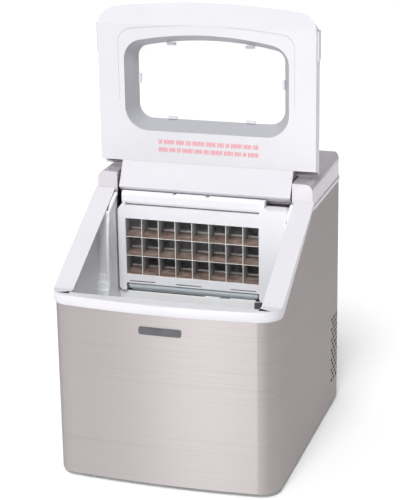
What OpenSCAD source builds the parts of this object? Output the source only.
// Countertop ice maker with a hinged lid, an ice bin and an evaporator with square moulds.
// +Z is up, the front faces -Y, and the origin is at the middle of the footprint on the bench.

/* [Casing] */
// Width of the steel casing
case_w = 330; // [280:1:420]
// Depth from the collar's front to the cover's back
case_d = 420; // [400:1:520]
// Height of the closed ice maker, feet included
case_h = 404; // [350:1:500]
// Radius of the casing's front corners
corner_r = 30; // [18:1:40]
// Radius that the casing's front is bowed to
case_bow_r = 1500; // [900:10:3000]
// Thickness of the steel sheet
sheet_t = 0.8; // [0.6:0.1:1.2]
// Height of the feet
foot_h = 7; // [4:0.5:12]
// Radius of a foot
foot_r = 13; // [9:0.5:18]
// Thickness of the rear panel
rear_t = 1.2; // [0.8:0.1:2]

/* [Collar] */
// How far the collar stands out from the casing at the sides
collar_out = 3; // [2.5:0.1:5]
// How far the collar stands out from the casing at the middle of the front
collar_front_out = 5.5; // [4:0.1:8]
// Radius that the collar's front is bowed to
collar_bow_r = 1070; // [800:10:2000]
// Depth of the level shelf at the front
shelf_d = 36; // [28:1:50]
// Height of the collar's rim at the front
rim_h = 15; // [8:0.5:20]
// Height of the collar's rim where it meets the cover
rim_rear_h = 5; // [4:0.5:8]
// Height from the shelf to the top of the cover
lid_drop = 123; // [110:1:140]
// Slope of the side rails above the level
slope = 28.4; // [22:0.2:34]
// Width of each side rail
rail_w = 30; // [20:1:36]
// Gap between the ice bin's wall and the casing at the front corners
lip_gap = 1.6; // [1.2:0.1:5]
// Wall thickness of the collar, the cover and the lid
skin_t = 2.6; // [2:0.1:3.5]

/* [Cover and hinge] */
// Height of the cover's side walls
cover_h = 39; // [32:1:50]
// Radius of the cover's rear corners
cover_corner_r = 35; // [20:1:45]
// Radius along the cover's long top edges
cover_edge_r = 11; // [4:1:16]
// Height of the rim round the cover's lower edge
cover_rim_h = 5; // [3:0.5:8]
// How far that rim stands out at the sides
cover_rim_out = 1.4; // [0.5:0.1:2]
// Height of the hinge blocks above the rails
block_h = 24.6; // [20:0.2:32]
// Width of each hinge block
block_w = 30.5; // [22:0.5:36]
// Distance of the hinge axis behind the blocks' front
hinge_back = 20.4; // [16:0.2:26]
// Distance of the hinge axis below the cover's top
hinge_down = 11; // [9:0.2:14]
// Radius of the hinge pins
pin_r = 4; // [2.5:0.5:5]
// Running clearance of pins in their bores
pin_fit = 0.05; // [0.02:0.01:0.1]

/* [Lid] */
// Thickness of the lid
lid_t = 32; // [24:1:40]
// Gap between the closed lid and the collar
lid_gap = 1; // [0.5:0.1:2]
// Gap at each side of the hinge tongue
tongue_gap = 3; // [1:0.5:5]
// Width of the window opening in the inner panel
window_w = 250; // [200:1:270]
// Distance from the bend in the lid to the window opening
window_front = 13.3; // [8:0.1:40]
// Distance from the hinge axis to the window opening
window_up = 72; // [60:1:90]
// How far the window's walls close in towards the pane
window_taper = 13; // [6:1:20]
// Radius of the window's upper corners
window_r = 30; // [15:1:45]
// Radius of the window's corners beside the hinge
window_hinge_r = 35; // [15:1:45]
// Radius that the window's top edge is bowed to
window_bow_r = 500; // [300:10:900]
// Thickness of the window pane
pane_t = 2.5; // [2:0.5:4]
// Thickness of the inner panel
inner_t = 3; // [2:0.5:4]
// How far the finger grips stand out from the lid's sides
grip_out = 2.4; // [1.5:0.1:2.8]

/* [Ice bin] */
// Gap between the bin's inner walls and the outside of the casing
bin_side = 13; // [11:1:20]
// Height of the bin's floor above the bench
bin_floor = 62; // [55:1:80]
// Thickness of the bin's walls
bin_t = 2.5; // [2:0.1:4]
// Depth of the bin's rear columns
column_d = 32; // [20:1:40]
// Height of the ice basket
basket_h = 78; // [50:1:90]
// Clearance around the ice basket
basket_gap = 5; // [3:1:12]
// Wall thickness of the basket and the sump tank
tub_t = 2.5; // [1.5:0.5:3]
// Depth of each of the three ledges beside the evaporator
step_d = 5; // [3:0.5:8]

/* [Evaporator] */
// Distance from the casing's side to the evaporator housing
unit_side = 33; // [30:1:40]
// Gap around the evaporator housing
unit_gap = 2.5; // [1.5:0.5:4]
// Width of one ice mould
cell_w = 26.2; // [22:0.1:30]
// Height of one ice mould
cell_h = 29.7; // [24:0.1:32]
// Rows of ice moulds
cell_rows = 3; // [2:1:3]
// Depth of the ice moulds
cell_d = 26; // [20:1:30]
// Downward tilt of the mould floors
cell_tilt = 13; // [5:1:16]
// Thickness of the mould fins
fin_t = 0.9; // [0.6:0.1:1.5]
// Depth of the evaporator housing
unit_d = 50; // [46:1:52]
// Radius of the splash flap
flap_r = 5.5; // [4.5:0.5:7]
// Depth of the water bar above the moulds
bar_w = 12; // [10:0.5:14]
// Height of the water bar
bar_h = 20; // [14:1:24]

/* [Cooling circuit] */
// Radius of the compressor's shell
compressor_r = 58; // [45:1:60]
// Height of the compressor's shell
compressor_h = 148; // [110:1:150]
// Radius of the refrigerant tubes
tube_r = 3; // [2.5:0.5:4]
// Radius of the coil behind the moulds
coil_r = 4; // [3:0.5:5]
// Radius of the pump's hose
hose_r = 5; // [4:0.5:6]
// Radius of the fan blades
fan_r = 52; // [40:1:56]
// Radius of the fan motor's shaft
shaft_r = 2.5; // [2:0.5:4]

/* [Vents and fittings] */
// Rows of vents in the casing's side
vent_rows = 13; // [6:1:14]
// Vents in a full row
vent_cols = 5; // [3:1:6]
// Spacing of the vents along a row
vent_pitch_y = 15; // [13:0.5:18]
// Spacing of the rows of vents
vent_pitch_z = 8.5; // [7:0.5:10]
// Length of one vent
vent_len = 9.5; // [6:0.5:11]
// Height of one vent
vent_h = 4.6; // [3:0.2:6]
// Radius of the bore for the mains lead
gland_bore_r = 4; // [3:0.5:5]
// Radius of the drain's bore
drain_r = 6; // [4:0.5:7]
// Radius of the casing's screws
screw_r = 1.5; // [1.2:0.1:2]
// Width of the name plate
badge_w = 62; // [40:1:90]
// Height of the name plate
badge_h = 11; // [8:0.5:16]
// Radius of the melt water's hole in the bin's floor
bin_drain_r = 10; // [6:1:14]

/* [Controls] */
// Width of the control panel
panel_w = 150; // [120:1:200]
// Depth of the control panel
panel_d = 46; // [36:1:60]
// Radius of a button
button_r = 7; // [5:0.5:9]
// Travel of a button
button_travel = 1.5; // [1:0.1:2]

/* [Hidden] */
$fn = 72;

eps = 0.01;
fit = 0.3;
bow_fn = 720;

// Casing
hw = case_w / 2;
front_y = -case_d / 2;
back_y = case_d / 2;
steel_front_y = front_y + collar_front_out;
steel_back_y = back_y - 3;
collar_hw = hw + collar_out;
collar_r = corner_r + collar_out;
corner_y = steel_front_y + case_bow_r - sqrt(pow(case_bow_r - corner_r, 2) - pow(hw - corner_r, 2));
cover_bottom_z = case_h - cover_h;

// Collar and slope
shelf_z = case_h - lid_drop;
rim_z = shelf_z - rim_h;
crease_y = front_y + shelf_d;
slope_tan = tan(slope);
rail_end_z = case_h - block_h;
block_y = crease_y + (rail_end_z - shelf_z) / slope_tan;
opening_hw = collar_hw - rail_w;

// Hinge and lid
pivot_y = block_y + hinge_back;
pivot_z = case_h - hinge_down;
lid_open = 90 + slope;
lid_hw = hw;
tongue_hw = hw - block_w - tongue_gap;
cut_hw = hw - block_w;
trough_r = sqrt(pow(hinge_back, 2) + pow(hinge_down, 2)) + 1.4;
tongue_r = trough_r - 1.3;
pivot_off = hinge_back * sin(slope) - (pivot_z - rail_end_z) * cos(slope);
foot_s_y = pivot_y - pivot_off * sin(slope);
window_h = (foot_s_y - crease_y) / cos(slope) - window_up - window_front;
lid_end_y = block_y - lid_gap;
lid_edge_r = 12;

// Heights inside the lid, measured square to the slope from the rails
inner_n = lid_gap + inner_t;
tunnel_top = lid_t + lid_gap - pane_t - 0.5;
taper_rate = window_taper / (tunnel_top - inner_n);

// Ice bin
bin_hw = hw - bin_side;
bin_corner_x = bin_hw + bin_t - (hw - corner_r);
bin_front_y = corner_y - sqrt(pow(corner_r, 2) - pow(max(0, bin_corner_x), 2)) + lip_gap + bin_t;
unit_hw = hw - unit_side;
unit_y = block_y - 10;
column_hw = unit_hw + unit_gap - 1.5;
bin_back_y = unit_y + 5;
column_y = unit_y - column_d;
tank_hw = unit_hw - 24;
tank_y1 = unit_y - 4;
basket_hw = column_hw - basket_gap;
basket_y0 = bin_front_y + basket_gap + 4;
basket_y1 = bin_back_y - step_d * 3 - basket_gap;
basket_z = bin_floor + 10;
basket_r = 14;
basket_rim = 3;
bin_drain_y = column_y - 2 * bin_drain_r;

// Evaporator
unit_top_z = case_h - 49;
unit_band_z = unit_top_z - 19;
grid_h = cell_rows * cell_h;
grid_z = unit_band_z - grid_h;
grid_x = -unit_hw + 11;
cell_cols = floor((2 * unit_hw - 53.5) / cell_w);
grid_w = cell_cols * cell_w;
grid_right = grid_x + grid_w;
unit_bottom_z = grid_z - 25;
flap_z = unit_bottom_z + flap_r + 1;
flap_x0 = grid_x + 4;
flap_x1 = grid_right - 4;
flap_y = unit_y + 7;
flap_pin_r = 2;
flap_bush_r = 3.5;
bar_y = unit_y + 10;
bar_z = unit_top_z + 1.5;
bar_x0 = grid_x - 5;
bar_x1 = grid_right + 6;
plate_t = 1.5;
floor_rise = cell_d * tan(cell_tilt);
coil_y = unit_y + cell_d + plate_t + coil_r;
coil_out_z = grid_z + grid_h / 8;
sensor_x = grid_right - 3;
sensor_z = unit_bottom_z - 9;

// Machine bay
floor_z = foot_h + 1.2;
comp_x = -(hw - 14 - compressor_r - 4);
comp_y = steel_back_y - 16 - compressor_r;
comp_z = floor_z + 13;
comp_top = comp_z + compressor_h;
comp_edge_r = 28;
comp_bolt_r = 3;
drier_r = 10;
drier_h = 80;
fan_y = back_y - 78;
fan_z = 97;
cond_x = hw - 38;
fan_x = cond_x - 24;
manifold_z = comp_top + 28;
valve_x = (comp_x + cond_x) / 2;
cond_y0 = fan_y - 68;
cond_y1 = fan_y + 64;
cond_top = fan_z + 66;
drier_x = fan_x - 26;
pump_x = unit_hw - 40;
pump_y = unit_y + 22;
gland_x = -hw + 75;
gland_z = 34;
drain_y = column_y - 40;
drain_z = 30;
vent_y = back_y - 72;
vent_z = 44;
gland_r = 7.8;
badge_z = rim_z - 25.5;

// Controls
panel_y = pivot_y + 74;
button_x = panel_w / 2 - 22;
button_y = panel_y - 8;
board_z = case_h - 24;

// Profiles ---------------------------------------------------------------

// Plan of the casing: bowed front, round corners; inset moves every edge inwards
module plan(w2, y0, y1, r, bow, rr, inset = 0) {
    yc = y0 + bow - sqrt(pow(bow - r, 2) - pow(w2 - r, 2));
    xt = (w2 - r) * (bow - inset) / (bow - r);
    intersection() {
        translate([0, y0 + bow]) circle(r = bow - inset, $fn = bow_fn);
        translate([-xt, y0 - 5]) square([2 * xt, yc - y0 + 6]);
    }
    for (s = [-1, 1]) {
        translate([s * (w2 - r), yc]) circle(r = r - inset);
        translate([s * (w2 - rr), y1 - rr]) circle(r = rr - inset);
    }
    translate([-w2 + inset, yc]) square([2 * (w2 - inset), y1 - rr - yc]);
    translate([-w2 + rr, yc]) square([2 * (w2 - rr), y1 - inset - yc]);
}

module steel_plan(inset = 0)
    plan(hw, steel_front_y, steel_back_y, corner_r, case_bow_r, corner_r, inset);

module collar_plan(inset = 0)
    plan(collar_hw, front_y, back_y, collar_r, collar_bow_r, collar_r, inset);

module lid_plan(inset = 0)
    plan(lid_hw, front_y, back_y, corner_r, collar_bow_r, corner_r, inset);

// Extrudes a (Y, Z) profile across the width
module across(w2) rotate([90, 0, 90]) linear_extrude(2 * w2, center = true) children();

// Extrudes an (X, Z) profile backwards from y
module back_from(y, len) translate([0, y + len, 0]) rotate([90, 0, 0]) linear_extrude(len) children();

module box(lo, hi) translate(lo) cube(hi - lo);

module pair() for (s = [-1, 1]) scale([s, 1, 1]) children();

module rod_x(x0, x1, y, z, r) translate([x0, y, z]) rotate([0, 90, 0]) cylinder(h = x1 - x0, r = r);

module rod_y(y0, y1, x, z, r) translate([x, y0, z]) rotate([-90, 0, 0]) cylinder(h = y1 - y0, r = r);

module rod_z(z0, z1, x, y, r) translate([x, y, z0]) cylinder(h = z1 - z0, r = r);

module slab(size, r) {
    translate([r, 0]) square([size[0] - 2 * r, size[1]]);
    translate([0, r]) square([size[0], size[1] - 2 * r]);
    for (x = [r, size[0] - r], y = [r, size[1] - r]) translate([x, y]) circle(r = r);
}

// Round tube that follows right-angled runs, with ball corners
module tube_run(pts, r) {
    for (i = [0 : len(pts) - 2]) {
        d = pts[i + 1] - pts[i];
        l = norm(d);
        translate(pts[i]) rotate([0, acos(d[2] / l), atan2(d[1], d[0])]) cylinder(h = l, r = r, $fn = 36);
    }
    for (i = [1 : len(pts) - 2]) translate(pts[i]) sphere(r = r, $fn = 36);
}

// Height of the rail's surface at depth y
function rail_z(y) = shelf_z + max(0, y - crease_y) * slope_tan;

// Casing -----------------------------------------------------------------

module base_pan() color("lightgray") difference() {
    translate([0, 0, foot_h]) linear_extrude(12) steel_plan(sheet_t + 0.2);
    translate([0, 0, floor_z]) linear_extrude(12) steel_plan(sheet_t + 1.2);
    foot_places() rod_z(foot_h - 1, floor_z + 1, 0, 0, 2.2);
    compressor_feet() rod_z(foot_h - 1, floor_z + 1, 0, 0, comp_bolt_r);
}

module foot_places() for (x = [-1, 1], y = [front_y + 52, back_y - 48])
    translate([x * (hw - 45), y, 0]) children();

module feet() color("dimgray") foot_places() difference() {
    union() {
        cylinder(h = 3, r1 = foot_r - 1.5, r2 = foot_r);
        rod_z(3, foot_h, 0, 0, foot_r);
    }
    rod_z(-1, 2.5, 0, 0, 6);
    rod_z(-1, foot_h + 1, 0, 0, 2.2);
}

module foot_screws() color("silver") foot_places() {
    rod_z(1, 2.5, 0, 0, 4.5);
    rod_z(2, floor_z + 5, 0, 0, 2);
    rod_z(floor_z, floor_z + 3, 0, 0, 4);
}

// Side view of the steel: it tucks behind the collar's rim and carries the cover on its edge
module steel_side() polygon([
    [front_y - 5, foot_h], [back_y + 5, foot_h], [back_y + 5, cover_bottom_z],
    [block_y, cover_bottom_z], [block_y - fit, cover_bottom_z],
    [block_y - fit, rail_z(block_y) - rim_rear_h + 1.4],
    [crease_y + 2, rim_z + 3], [front_y - 5, rim_z + 3]
]);

module outer_wrap() color("silver") difference() {
    intersection() {
        linear_extrude(case_h) steel_plan();
        across(collar_hw) steel_side();
    }
    linear_extrude(case_h) steel_plan(sheet_t);
    box([-hw + 45, steel_back_y - 5, -1], [hw - 45, back_y, case_h]);
    screw_places() rod_y(steel_back_y - 2, back_y, 0, 0, screw_r);
    vent_slots(hw);
    rod_x(-hw - 5, -hw + 5, drain_y, drain_z, drain_r + 5 + fit);
}

// Staggered oblong vents low on the side, in front of the condenser
module vent_slots(x) for (r = [0 : vent_rows - 1], c = [0 : vent_cols - 1 - r % 2])
    translate([x - 3, vent_y + (c + (r % 2) / 2) * vent_pitch_y, vent_z + r * vent_pitch_z])
        rotate([90, 0, 90]) linear_extrude(6) slab([vent_len, vent_h], vent_h / 2 - 0.2);

module rear_panel() color("gainsboro") difference() {
    back_from(steel_back_y, rear_t) translate([-hw + 33, foot_h + 4])
        slab([2 * hw - 66, cover_bottom_z - foot_h - 8], 6);
    screw_places() rod_y(steel_back_y - 1, back_y, 0, 0, screw_r + fit);
    rod_y(steel_back_y - 1, back_y, gland_x, gland_z, gland_r + 0.2);
    for (i = [0 : 8], s = [0, 1]) translate([-20 - 60 * s, 0, 80 + i * 12])
        back_from(steel_back_y - 1, 5) slab([44, 5], 2.4);
}

module screw_places() for (x = [-1, 1], z = [30, (30 + cover_bottom_z) / 2, cover_bottom_z - 24])
    translate([x * (hw - 39), 0, z]) children();

module rear_screws() color("gray") screw_places() {
    rod_y(steel_back_y + rear_t, back_y - 0.2, 0, 0, 2.4 * screw_r);
    rod_y(steel_back_y - 8, steel_back_y + rear_t + eps, 0, 0, screw_r);
}

module cord_gland() color("black") difference() {
    union() {
        rod_y(steel_back_y + rear_t, back_y - 0.2, gland_x, gland_z, gland_r + 3.2);
        rod_y(steel_back_y - 10, steel_back_y + rear_t + eps, gland_x, gland_z, gland_r);
    }
    rod_y(steel_back_y - 12, back_y + 2, gland_x, gland_z, gland_bore_r);
}

module name_badge() color("dimgray") intersection() {
    difference() {
        linear_extrude(case_h) steel_plan(-1.2);
        linear_extrude(case_h) steel_plan();
    }
    translate([-badge_w / 2, 0, badge_z - badge_h / 2])
        back_from(front_y - 5, 30) slab([badge_w, badge_h], 3);
}

// Collar -----------------------------------------------------------------

module collar_side(drop) polygon([
    [front_y - 5, rim_z], [crease_y + 2, rim_z], [block_y, rail_end_z - rim_rear_h],
    [block_y, rail_end_z - drop], [crease_y, shelf_z - drop], [front_y - 5, shelf_z - drop]
]);

module front_collar() color("whitesmoke") difference() {
    intersection() {
        linear_extrude(case_h) collar_plan();
        across(collar_hw + 1) collar_side(0);
    }
    intersection() {
        linear_extrude(case_h) steel_plan(-fit);
        across(collar_hw + 1) translate([0, -rim_h]) polygon([
            [front_y - 5, rim_z - 5], [block_y + 5, rim_z - 5],
            [block_y + 5, rail_z(block_y + 5) - 3 + rim_h],
            [crease_y, shelf_z - 3 + rim_h], [front_y - 5, shelf_z - 3 + rim_h]
        ]);
    }
    linear_extrude(case_h) collar_opening(0);
    box([-opening_hw, block_y - 30, 0], [opening_hw, block_y + 30, case_h]);
}

module collar_opening(grow) translate([-opening_hw - grow, bin_front_y - grow])
    slab([2 * (opening_hw + grow), block_y - bin_front_y + 20], 4 + grow);

// Cover with its two hinge blocks and the trough that the lid's tongue turns in
module cover_body(inset) {
    top = case_h - inset;
    intersection() {
        linear_extrude(case_h + 5)
            plan(hw, block_y - 300, back_y, corner_r, case_bow_r, cover_corner_r, inset);
        across(hw) intersection() {
            translate([block_y + inset, cover_bottom_z - 1])
                square([back_y - inset - block_y - inset, top - cover_bottom_z + 1]);
            union() {
                translate([0, cover_bottom_z - 1])
                    square([back_y - inset - cover_edge_r, top - cover_bottom_z + 1]);
                translate([back_y - cover_edge_r, case_h - cover_edge_r]) circle(r = cover_edge_r - inset);
                translate([0, cover_bottom_z - 1]) square([back_y - inset, cover_h - cover_edge_r + 1]);
                translate([block_y, cover_bottom_z - 1]) square([50, top - cover_bottom_z + 1]);
            }
        }
        back_from(block_y - 5, case_d) {
            translate([-hw + inset, cover_bottom_z - 1])
                square([2 * (hw - inset), cover_h - cover_edge_r + 1]);
            translate([-hw + cover_edge_r, cover_bottom_z])
                square([2 * (hw - cover_edge_r), cover_h - inset]);
            for (s = [-1, 1]) translate([s * (hw - cover_edge_r), case_h - cover_edge_r])
                circle(r = cover_edge_r - inset);
        }
    }
}

module cover_rim() difference() {
    translate([0, 0, cover_bottom_z]) linear_extrude(cover_rim_h) difference() {
        plan(hw + cover_rim_out, block_y - 300, back_y, corner_r, case_bow_r, cover_corner_r);
        plan(hw, block_y - 300, back_y, corner_r, case_bow_r, cover_corner_r, skin_t - eps);
    }
    box([-case_w, block_y - case_d, 0], [case_w, block_y + eps, case_h]);
}

module trough(r, w2) rod_x(-w2, w2, pivot_y, pivot_z, r);

module top_cover() color("lightgray") difference() {
    union() {
        difference() {
            cover_body(0);
            difference() {
                cover_body(skin_t);
                pair() box([cut_hw - eps, 0, rail_end_z], [hw, pivot_y + trough_r + 2, case_h]);
            }
            box([-hw - 1, block_y - 5, 0], [hw + 1, back_y + 5, cover_bottom_z]);
            pair() box([cut_hw - 1, block_y + 6, case_h - 0.7], [hw + 1, block_y + 7, case_h + 1]);
            box([-cut_hw, block_y - 5, 0], [cut_hw, pivot_y + trough_r, case_h + 5]);
        }
        cover_rim();
        intersection() {
            trough(trough_r + skin_t, cut_hw + eps);
            box([-hw, pivot_y, 0], [hw, back_y, pivot_z]);
        }
        box([-cut_hw - eps, pivot_y + trough_r, pivot_z - eps],
            [cut_hw + eps, pivot_y + trough_r + skin_t, case_h - 1]);
    }
    trough(trough_r, cut_hw);
    box([-hw - 1, block_y - 1, cover_bottom_z - 20], [hw + 1, block_y + skin_t + 1, rail_end_z - 8]);
    rod_x(-cut_hw - 14, -cut_hw + 1, pivot_y, pivot_z, pin_r + pin_fit);
    rod_x(cut_hw - 1, cut_hw + 14, pivot_y, pivot_z, pin_r + pin_fit);
    translate([-panel_w / 2, panel_y - panel_d / 2, case_h - 1.5])
        linear_extrude(10) slab([panel_w, panel_d], 6);
    translate([-panel_w / 2 + 4, panel_y - panel_d / 2 + 4, case_h - 20])
        linear_extrude(30) slab([panel_w - 8, panel_d - 8], 4);
    cover_screw_places() rod_z(case_h - 10, case_h + 1, 0, 0, 1.6);
    cover_screw_places() rod_z(case_h - 0.6, case_h + 1, 0, 0, 4.6);
}

module cover_screw_places() for (s = [-1, 1]) translate([s * (hw - 40), back_y - 15, 0]) children();

module cover_screws() color("gray") cover_screw_places() {
    rod_z(case_h - 0.6, case_h + 0.6, 0, 0, 4);
    rod_z(case_h - 9, case_h, 0, 0, 1.6);
}

// Ice bin ----------------------------------------------------------------

// Side view of everything that hangs under the collar's plate
module under_collar() polygon([
    [front_y, 0], [bin_back_y + 30, 0], [bin_back_y + 30, rail_z(bin_back_y + 30) - 3],
    [crease_y, shelf_z - 3], [front_y, shelf_z - 3]
]);

module bin_space(grow) {
    box([-bin_hw - grow, bin_front_y - grow, bin_floor - grow], [bin_hw + grow, column_y + grow, case_h]);
    box([-column_hw - grow, column_y - grow, bin_floor - grow],
        [column_hw + grow, bin_back_y + grow, case_h]);
}

module bin_steps() pair() for (i = [0 : 2])
    box([column_hw, column_y - step_d * (i + 1), bin_floor - eps],
        [bin_hw + eps, column_y + eps, unit_bottom_z + 34 - 10 * i]);

module bin_liner() color("azure") difference() {
    intersection() {
        bin_space(bin_t);
        across(hw) under_collar();
    }
    difference() {
        bin_space(0);
        bin_steps();
    }
    box([-unit_hw - unit_gap, bin_back_y - 10, unit_bottom_z - unit_gap],
        [unit_hw + unit_gap, bin_back_y + 10, case_h]);
    rod_z(bin_floor - 10, bin_floor + 1, 0, bin_drain_y, bin_drain_r);
    box([sensor_x - 4, bin_back_y - 1, sensor_z - 4], [sensor_x + 4, bin_back_y + 5, sensor_z + 4]);
}

module liner_insulation() color("khaki") difference() {
    intersection() {
        translate([0, 0, floor_z + 12]) linear_extrude(case_h) steel_plan(sheet_t + 0.6);
        across(hw) translate([0, -7]) under_collar();
        box([-hw, front_y, bin_floor - bin_t], [hw, column_y - 12, case_h]);
    }
    bin_space(bin_t + 0.2);
    rod_x(-hw - 1, -hw + 30, drain_y, drain_z, 14);
}

module bin_full_sensor() color("dimgray") {
    box([sensor_x - 3.8, bin_back_y - 5, sensor_z - 3.8], [sensor_x + 3.8, bin_back_y + 8, sensor_z + 3.8]);
    box([sensor_x - 5.5, bin_back_y - 6, sensor_z - 6], [sensor_x + 5.5, bin_back_y, sensor_z + 6]);
}

module sump_tank() color("aliceblue") difference() {
    box([-tank_hw, bin_front_y + 12, floor_z], [tank_hw, tank_y1, bin_floor - bin_t - 1]);
    box([-tank_hw + tub_t, bin_front_y + 12 + tub_t, floor_z + tub_t],
        [tank_hw - tub_t, tank_y1 - tub_t, case_h]);
    rod_x(-tank_hw - 1, -tank_hw + tub_t + 1, drain_y, drain_z, drain_r);
}

// Drain: a threaded-style port through the left side, closed by a quarter-turn cap
module drain_port() color("white") difference() {
    union() {
        rod_x(-hw + 3, -tank_hw, drain_y, drain_z, drain_r + 3);
        rod_x(-hw - 0.2, -hw + 3.2, drain_y, drain_z, drain_r + 5);
    }
    rod_x(-hw - 2, -tank_hw + 1, drain_y, drain_z, drain_r);
}

module drain_cap() color("gray") {
    rod_x(-hw - 1, -hw + 14, drain_y, drain_z, drain_r - fit);
    rod_x(-hw - 1.2, -hw - 0.4, drain_y, drain_z, 2 * drain_r);
    box([-hw - 2.8, drain_y - 1.5 * drain_r, drain_z - 2], [-hw - 1, drain_y + 1.5 * drain_r, drain_z + 2]);
}

module water_pump() color("dimgray") {
    rod_z(floor_z, floor_z + 34, pump_x, pump_y, 19);
    rod_z(floor_z + 34, floor_z + 40, pump_x, pump_y, 14);
    rod_z(floor_z + 40, floor_z + 50, pump_x + 6, pump_y, 5);
    rod_y(tank_y1, pump_y, pump_x, floor_z + 14, 5);
}

module pump_hose() color("lightblue") tube_run([
    [pump_x + 6, pump_y, floor_z + 50], [pump_x + 6, pump_y, floor_z + 64],
    [pump_x + 6, unit_y + unit_d + 8, floor_z + 64], [pump_x + 6, unit_y + unit_d + 8, unit_top_z - 20],
    [-20, unit_y + unit_d + 8, unit_top_z - 20], [-20, unit_y + unit_d - 6, unit_top_z - 8]
], hose_r);

module level_probes() color("silver") for (i = [0, 1])
    rod_z(floor_z + 12 + 8 * i, bin_floor - bin_t, 60 + 14 * i, tank_y1 - 20, 1.8);

module ice_basket() color("white") difference() {
    union() {
        translate([-basket_hw, basket_y0, basket_z]) linear_extrude(basket_h)
            slab([2 * basket_hw, basket_y1 - basket_y0], basket_r);
        translate([-basket_hw - basket_rim, basket_y0 - basket_rim, basket_z + basket_h - 4])
            linear_extrude(4)
                slab([2 * (basket_hw + basket_rim), basket_y1 - basket_y0 + 2 * basket_rim],
                    basket_r + basket_rim);
        for (x = [-1, 1], y = [basket_y0 + 25, basket_y1 - 25])
            rod_z(bin_floor, basket_z + 1, x * (basket_hw - 25), y, 6);
    }
    translate([-basket_hw + tub_t, basket_y0 + tub_t, basket_z + tub_t]) linear_extrude(case_h)
        slab([2 * (basket_hw - tub_t), basket_y1 - basket_y0 - 2 * tub_t], basket_r - tub_t);
    for (i = [0 : 8]) translate([(i - 4) * 26 - 6, 0, basket_z + 14])
        back_from(basket_y0 - 20, case_d) slab([12, 38], 5);
    for (i = [-2 : 2], j = [-1 : 1])
        rod_z(basket_z - 1, basket_z + 4, i * 42, (basket_y0 + basket_y1) / 2 + j * 40, 6);
}

// Evaporator -------------------------------------------------------------

module evaporator_housing() color("white") difference() {
    union() {
        back_from(unit_y, unit_d) difference() {
            union() {
                translate([-unit_hw, unit_bottom_z]) slab([40, unit_top_z - unit_bottom_z - 6], 6);
                polygon([
                    [-unit_hw, unit_bottom_z + 20], [grid_right + 5, unit_bottom_z + 20],
                    [grid_right + 5, unit_top_z], [-unit_hw + 12, unit_top_z],
                    [-unit_hw + 12, unit_top_z + 7], [-unit_hw + 10, unit_top_z + 7],
                    [-unit_hw, unit_top_z - 6]
                ]);
                translate([-unit_hw, grid_z - 13]) square([grid_w + 20, 14]);
            }
        }
        difference() {
            back_from(unit_y - 6, unit_d + 6) translate([grid_right, unit_bottom_z])
                slab([unit_hw - grid_right, unit_top_z + 11 - unit_bottom_z], 8);
            box([grid_right - 1, unit_y + 16, unit_top_z + 7], [unit_hw + 1, unit_y + 80, case_h]);
        }
    }
    box([grid_x, unit_y - 1, grid_z], [grid_right, unit_y + cell_d, unit_band_z]);
    box([grid_x - 3, unit_y + cell_d, grid_z - 4], [grid_right + 3, unit_y + unit_d + 1, unit_band_z + 4]);
    box([grid_x, unit_y - 1, unit_bottom_z - 1], [grid_right, unit_y + unit_d + 1, grid_z - 13]);
    for (x = [grid_x + 6, -42, grid_right - 46])
        box([x, unit_y - 1, grid_z - 11], [x + 40, unit_y + 12, grid_z - 9]);
    rod_x(grid_x - 4, grid_x + 1, flap_y, flap_z, flap_bush_r);
    rod_x(grid_right - 1, grid_right + 4, flap_y, flap_z, flap_bush_r);
    box([-32, unit_y + unit_d - 16, unit_top_z - 16], [-8, unit_y + unit_d + 1, unit_top_z - 1]);
    box([bar_x0 - fit, bar_y - bar_w / 2 - fit, bar_z], [bar_x1 + fit, bar_y + bar_w / 2 + fit, case_h]);
}

// Square moulds: upright fins and tilted floors on a back plate
module evaporator_grid() color("tan") {
    plate_y = unit_y + cell_d;
    box([grid_x - 2, plate_y, grid_z - 2], [grid_right + 2, plate_y + plate_t, unit_band_z + 2]);
    for (i = [0 : cell_cols]) {
        x = min(max(grid_x + i * cell_w - fin_t / 2, grid_x), grid_right - fin_t);
        box([x, unit_y + 1, grid_z], [x + fin_t, plate_y + eps, unit_band_z]);
    }
    intersection() {
        box([grid_x, unit_y + 1, grid_z], [grid_right, plate_y + eps, unit_band_z]);
        for (j = [0 : cell_rows - 1]) translate([0, plate_y, grid_z + j * cell_h + floor_rise + fin_t])
            rotate([cell_tilt, 0, 0]) box([grid_x, -cell_d - 2, -fin_t], [grid_right, 2, 0]);
    }
}

module evaporator_coil() color("peru") {
    x0 = grid_x + 18;
    x1 = grid_right - 18;
    rise = grid_h / 4;
    tube_run([
        [x0, coil_y + 12, grid_z + rise * 0.5],
        for (i = [0 : 3], e = [0, 1]) [(i + e) % 2 == 0 ? x0 : x1, coil_y, grid_z + rise * (i + 0.5)],
        [x0, coil_y + 12, grid_z + rise * 3.5]
    ], coil_r);
}

// Water bar above the moulds, with a full-round top and a notched inlet
module distributor_bar() color("seashell") difference() {
    translate([(bar_x0 + bar_x1) / 2, 0, 0]) across((bar_x1 - bar_x0) / 2)
        translate([bar_y - bar_w / 2, bar_z]) slab([bar_w, bar_h], bar_w / 2 - 0.1);
    for (x = [-45, 6]) translate([x, bar_y, bar_z + bar_h + 2]) rotate([0, 45, 0])
        cube([8, bar_w + 2, 8], center = true);
    for (i = [0 : cell_cols * 2 - 1])
        rod_z(bar_z - 1, bar_z + 5, grid_x + (i + 0.5) * cell_w / 2, bar_y, 1.5);
}

module distributor_inlet() color("white") {
    box([-30, bar_y + bar_w / 2, bar_z], [-10, unit_y + unit_d - 18, bar_z + 6]);
    rod_z(unit_top_z, bar_z + 1, -20, bar_y + 14, 5);
}

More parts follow.
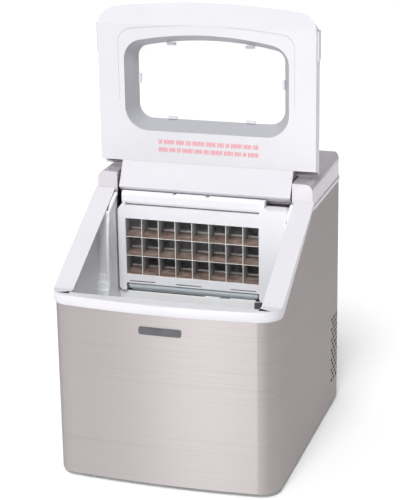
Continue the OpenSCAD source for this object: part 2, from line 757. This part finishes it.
module splash_flap() color("lightsteelblue") {
    rod_x(flap_x0, flap_x1, flap_y, flap_z, flap_r);
    box([flap_x0 + 4, flap_y - 1, flap_z - flap_r - 2], [flap_x1 - 4, flap_y + 1, flap_z]);
    rod_x(grid_x - 2, grid_right + 2, flap_y, flap_z, flap_pin_r);
}

module flap_bushes() color("gray") for (x = [grid_x - 4, grid_right]) difference() {
    rod_x(x, x + 4, flap_y, flap_z, flap_bush_r);
    rod_x(x - 1, x + 5, flap_y, flap_z, flap_pin_r + pin_fit);
}

// Cooling circuit --------------------------------------------------------

module compressor_feet() for (x = [-1, 1], y = [-1, 1])
    translate([comp_x + x * (compressor_r - 8), comp_y + y * (compressor_r - 8), 0]) children();

module compressor() color("black") difference() {
    union() {
        translate([comp_x, comp_y, comp_z]) rotate_extrude() {
            intersection() {
                union() {
                    translate([0, comp_edge_r]) square([compressor_r, compressor_h - 2 * comp_edge_r]);
                    for (z = [comp_edge_r, compressor_h - comp_edge_r])
                        translate([compressor_r - comp_edge_r, z]) circle(r = comp_edge_r);
                    square([compressor_r - comp_edge_r, compressor_h]);
                }
                square([compressor_r + 1, compressor_h]);
            }
        }
        translate([comp_x, comp_y, comp_z + compressor_h / 2]) cylinder(h = 3, r = compressor_r + 2);
        translate([comp_x - compressor_r + 2, comp_y - compressor_r + 2, comp_z - 3])
            linear_extrude(3 + eps) slab([2 * compressor_r - 4, 2 * compressor_r - 4], 6);
        for (s = [-1, 1]) rod_z(comp_top - 12, comp_top + 6, comp_x + s * 25, comp_y, 4.5);
    }
    compressor_feet() rod_z(0, comp_z + 1, 0, 0, comp_bolt_r + 0.2);
}

module compressor_grommets() color("dimgray") compressor_feet() difference() {
    rod_z(floor_z, comp_z - 3, 0, 0, 6);
    rod_z(0, comp_z, 0, 0, comp_bolt_r + 0.2);
}

module compressor_bolts() color("silver") compressor_feet() {
    rod_z(foot_h, comp_z + 2, 0, 0, comp_bolt_r);
    rod_z(comp_z, comp_z + 3.5, 0, 0, comp_bolt_r + 2);
}

module condenser_core() color("silver") {
    x1 = hw - 14;
    for (i = [0 : 18]) box([cond_x, cond_y0, 34 + i * 7], [x1, cond_y1, 35 + i * 7]);
    for (y = [cond_y0 + 12 : 27 : cond_y1 - 8], x = [cond_x + 6, x1 - 6])
        rod_z(floor_z, cond_top, x, y, 3.5);
}

module fan_shroud() color("dimgray") difference() {
    union() {
        box([cond_x - 3, cond_y0, floor_z], [cond_x, cond_y1, cond_top]);
        rod_x(fan_x, cond_x - 2, fan_y, fan_z, fan_r + 6);
    }
    rod_x(fan_x + 3, cond_x + 1, fan_y, fan_z, fan_r + 3);
    difference() {
        rod_x(fan_x - 1, fan_x + 4, fan_y, fan_z, fan_r + 3);
        rod_x(fan_x - 2, fan_x + 5, fan_y, fan_z, 22);
        for (a = [30, 150, 270]) translate([fan_x + 1, fan_y, fan_z]) rotate([a, 0, 0])
            box([-3, -5, 0], [4, 5, fan_r + 6]);
    }
    rod_x(fan_x - 1, fan_x + 4, fan_y, fan_z, 6);
}

module fan_motor() color("gray") {
    rod_x(fan_x - 34, fan_x, fan_y, fan_z, 20);
    rod_x(fan_x - 1, fan_x + 16, fan_y, fan_z, shaft_r);
}

module fan_blade() color("black") difference() {
    union() {
        rod_x(fan_x + 4.5, fan_x + 18, fan_y, fan_z, 13);
        for (i = [0 : 4]) translate([fan_x + 13, fan_y, fan_z]) rotate([i * 72, 0, 0])
            rotate([0, 0, 32]) intersection() {
                box([-1, -16, 8], [1, 16, fan_r]);
                rotate([0, 0, -32]) rod_x(-20, 20, 0, 0, fan_r);
            }
    }
    rod_x(fan_x + 3, fan_x + 16.2, fan_y, fan_z, shaft_r + pin_fit);
}

module filter_drier() color("peru") {
    translate([drier_x, fan_y - 74, 40]) {
        cylinder(h = drier_r, r1 = tube_r, r2 = drier_r);
        rod_z(drier_r, drier_h, 0, 0, drier_r);
        translate([0, 0, drier_h]) cylinder(h = drier_r, r1 = drier_r, r2 = tube_r);
        rod_z(drier_h + drier_r, drier_h + 2 * drier_r, 0, 0, tube_r);
    }
}

module hot_gas_valve() color("goldenrod") difference() {
    union() {
        box([valve_x - 12, comp_y - 10, manifold_z - 9], [valve_x + 12, comp_y + 10, manifold_z + 9]);
        rod_z(manifold_z + 9, manifold_z + 34, valve_x, comp_y, 11);
    }
    rod_x(valve_x - 13, valve_x + 13, comp_y, manifold_z, tube_r);
}

module discharge_tube() color("peru") tube_run([
    [comp_x + 25, comp_y, comp_top + 6], [comp_x + 25, comp_y, manifold_z],
    [cond_x + 12, comp_y, manifold_z], [cond_x + 12, comp_y, cond_top]
], tube_r);

module suction_tube() color("peru") tube_run([
    [grid_x + 18, coil_y + 12, coil_out_z], [grid_x + 18, comp_y, coil_out_z],
    [grid_x + 18, comp_y, manifold_z + 14], [comp_x - 25, comp_y, manifold_z + 14],
    [comp_x - 25, comp_y, comp_top + 6]
], tube_r);

// Controls ---------------------------------------------------------------

module control_board() color("seagreen") {
    box([-50, panel_y - 30, board_z], [50, panel_y + 30, board_z + 1.6]);
    box([-40, panel_y - 24, board_z + 1.6], [-14, panel_y - 4, board_z + 12]);
    for (i = [0 : 3]) rod_z(board_z + 1.5, board_z + 11, 8 + i * 11, panel_y + 20, 4);
    box([-44, panel_y + 8, board_z + 1.6], [-8, panel_y + 22, board_z + 7]);
}

module button_places() for (x = [-button_x, 0, button_x]) translate([x, button_y, 0]) children();

module control_panel() color("dimgray") difference() {
    union() {
        translate([-panel_w / 2 + 0.3, panel_y - panel_d / 2 + 0.3, case_h - 1.5])
            linear_extrude(1.8) slab([panel_w - 0.6, panel_d - 0.6], 5.7);
        button_places() rod_z(case_h - 8, case_h - 1, 0, 0, button_r + 2);
    }
    button_places() rod_z(case_h - 5, case_h + 1, 0, 0, button_r + fit);
    button_places() rod_z(case_h - 9, case_h, 0, 0, 3);
    translate([-45, panel_y + 7, case_h - 0.7]) linear_extrude(2) slab([90, 9], 3);
}

module display_window() color("black") translate([-44.8, panel_y + 7.2, case_h - 0.7])
    linear_extrude(0.9) slab([89.6, 8.6], 2.8);

module button(i) color("white") translate([(i - 1) * button_x, button_y, 0]) {
    rod_z(case_h - 5 + button_travel + fit, case_h + 1.4, 0, 0, button_r);
    translate([0, 0, case_h + 1.4]) cylinder(h = 0.5, r1 = button_r, r2 = button_r - 0.6);
}

module power_button() button(0);
module select_button() button(1);
module size_button() button(2);

// Lid --------------------------------------------------------------------

// Turns a lid that is modelled closed to its open rest position
module opened() translate([0, pivot_y, pivot_z]) rotate([-lid_open, 0, 0])
    translate([0, -pivot_y, -pivot_z]) children();

// (Y, Z) profile of the closed lid between two heights above the collar
module lid_side(lo, hi, inset) {
    v = 1 / cos(slope);
    top = case_h - inset;
    polygon([
        [front_y + inset, shelf_z + lo], [crease_y, shelf_z + lo],
        [lid_end_y - inset, rail_z(lid_end_y) + lo * v],
        [lid_end_y - inset, top],
        [crease_y + (top - shelf_z - hi * v) / slope_tan, top],
        [front_y + inset, shelf_z + hi * v - (crease_y - front_y - inset) * slope_tan]
    ]);
}

// Rounded section of the closed lid, run along the slope
module lid_section(hi, inset) translate([0, crease_y, shelf_z]) rotate([slope, 0, 0]) {
    r = lid_edge_r;
    back_from(-120, 420) {
        translate([-lid_hw + inset, -60]) square([2 * (lid_hw - inset), hi - r + 60]);
        translate([-lid_hw + r, -60]) square([2 * (lid_hw - r), hi + 60]);
        for (s = [-1, 1]) translate([s * (lid_hw - r), hi - r]) circle(r = r - inset);
    }
}

module lid_mass(lo, hi, inset) intersection() {
    across(lid_hw) lid_side(lo, hi, inset);
    translate([0, 0, rim_z]) linear_extrude(case_h) lid_plan(inset);
    lid_section(lid_t + lid_gap, inset);
}

// The lid stays clear of the hinge blocks all the way up
module block_sweep() pair() rod_x(tongue_hw, hw + 10, pivot_y, pivot_z, trough_r);

// Hinge tongue between two heights, with its rear end rounded about the hinge axis
module tongue(z0, z1, y0) intersection() {
    union() {
        box([-tongue_hw, y0, z0], [tongue_hw, pivot_y, z1]);
        rod_x(-tongue_hw, tongue_hw, pivot_y, pivot_z, tongue_r);
    }
    box([-tongue_hw, y0, z0], [tongue_hw, back_y, z1]);
}

// Outline of the window seen square to the lid, s measured up from the hinge axis
module window_shape(inset, fn = 72) translate([0, -window_up])
    plan(window_w / 2, -window_h, 0, window_r, window_bow_r, window_hinge_r, inset, $fn = fn);

// Places a shape drawn square to the slope: Y runs up the slope, Z out of the lid
module on_slope(n) translate([0, foot_s_y, rail_z(foot_s_y)]) rotate([slope, 0, 0])
    translate([0, 0, n]) children();

// Solid between two heights above the rails that follows the window's sloping walls
module window_tunnel(n0, n1, inset) hull() for (n = [n0, n1 - eps])
    on_slope(n) linear_extrude(eps) window_shape(inset + (n - inner_n) * taper_rate, 32);

// Raised grips on the lid's sides, just behind the bend in its front
module finger_grips() pair() on_slope(inner_n) {
    translate([lid_hw - skin_t, 1 - (foot_s_y - crease_y) / cos(slope), 0])
        cube([skin_t + grip_out, 43, 15]);
}

module lid_outer_shell() color("lightgray") opened() difference() {
    union() {
        difference() {
            lid_mass(inner_n, lid_t + lid_gap, 0);
            lid_mass(inner_n - 1, lid_t + lid_gap - skin_t, skin_t);
        }
        tongue(rail_end_z + inner_n + 0.2, case_h, lid_end_y - skin_t + eps);
        finger_grips();
    }
    block_sweep();
    on_slope(tunnel_top - 2) linear_extrude(pane_t + 5) window_shape(window_taper - 6);
    rod_x(-tongue_hw - 1, -tongue_hw + 14, pivot_y, pivot_z, pin_r);
    rod_x(tongue_hw - 14, tongue_hw + 1, pivot_y, pivot_z, pin_r);
}

module lid_inner_panel() color("white") opened() difference() {
    union() {
        intersection() {
            lid_mass(lid_gap, lid_t + lid_gap, 0);
            across(lid_hw) polygon([
                [front_y - 5, shelf_z], [crease_y, shelf_z], [lid_end_y, rail_z(lid_end_y)],
                [lid_end_y, rail_z(lid_end_y) + inner_n / cos(slope)],
                [crease_y, shelf_z + inner_n], [front_y - 5, shelf_z + inner_n]
            ]);
        }
        tongue(rail_end_z + lid_gap, rail_end_z + inner_n + 0.2, lid_end_y - eps);
    }
    block_sweep();
    on_slope(-5) linear_extrude(lid_t) window_shape(0);
    relief_line();
}

// Thin U-shaped relief line around the window
module relief_line() on_slope(lid_gap - 1) linear_extrude(1.6) difference() {
    translate([0, -window_up]) plan(window_w / 2 + 9, -window_h - 14, 0, 22, 900, 20);
    translate([0, -window_up]) plan(window_w / 2 + 9, -window_h - 14, 0, 22, 900, 20, 0.9);
    translate([-window_w, -window_up - 45]) square([2 * window_w, 60]);
}

module lid_window_frame() color("silver") opened() difference() {
    window_tunnel(inner_n, tunnel_top, -2.5);
    window_tunnel(inner_n - 1, tunnel_top + 1, 0);
}

module lid_window() color("lightblue", 0.4) opened() on_slope(tunnel_top)
    linear_extrude(pane_t) window_shape(window_taper - 5.8);

module window_clips() color("whitesmoke") opened() {
    w = window_w / 2 - window_taper;
    s0 = -window_up - window_taper;
    s1 = -window_up - window_h + window_taper;
    clip_x = 60;
    clip_w = 14;
    bow_drop = window_bow_r - sqrt(pow(window_bow_r, 2) - pow(clip_x + clip_w / 2, 2));
    on_slope(tunnel_top - 3) {
        for (x = [-clip_x, clip_x], s = [s0 - 4.2, s1 + 0.2 + bow_drop])
            translate([x - clip_w / 2, s, 0]) cube([clip_w, 4, 3]);
        for (x = [-w + 0.2, w - 4.2])
            translate([x, (s0 + s1 - clip_w) / 2, 0]) cube([4, clip_w, 3]);
    }
}

module hinge_pins() color("silver") opened() {
    rod_x(-cut_hw - 12, -tongue_hw + 14, pivot_y, pivot_z, pin_r);
    rod_x(tongue_hw - 14, cut_hw + 12, pivot_y, pivot_z, pin_r);
}

base_pan();
feet();
foot_screws();
outer_wrap();
rear_panel();
rear_screws();
front_collar();
top_cover();
cover_screws();
name_badge();
bin_liner();
liner_insulation();
sump_tank();
water_pump();
pump_hose();
level_probes();
bin_full_sensor();
drain_port();
drain_cap();
ice_basket();
evaporator_housing();
evaporator_grid();
evaporator_coil();
distributor_bar();
distributor_inlet();
splash_flap();
flap_bushes();
compressor();
compressor_grommets();
compressor_bolts();
condenser_core();
fan_shroud();
fan_motor();
fan_blade();
filter_drier();
hot_gas_valve();
discharge_tube();
suction_tube();
control_board();
control_panel();
display_window();
power_button();
select_button();
size_button();
cord_gland();
lid_outer_shell();
lid_inner_panel();
lid_window_frame();
lid_window();
window_clips();
hinge_pins();
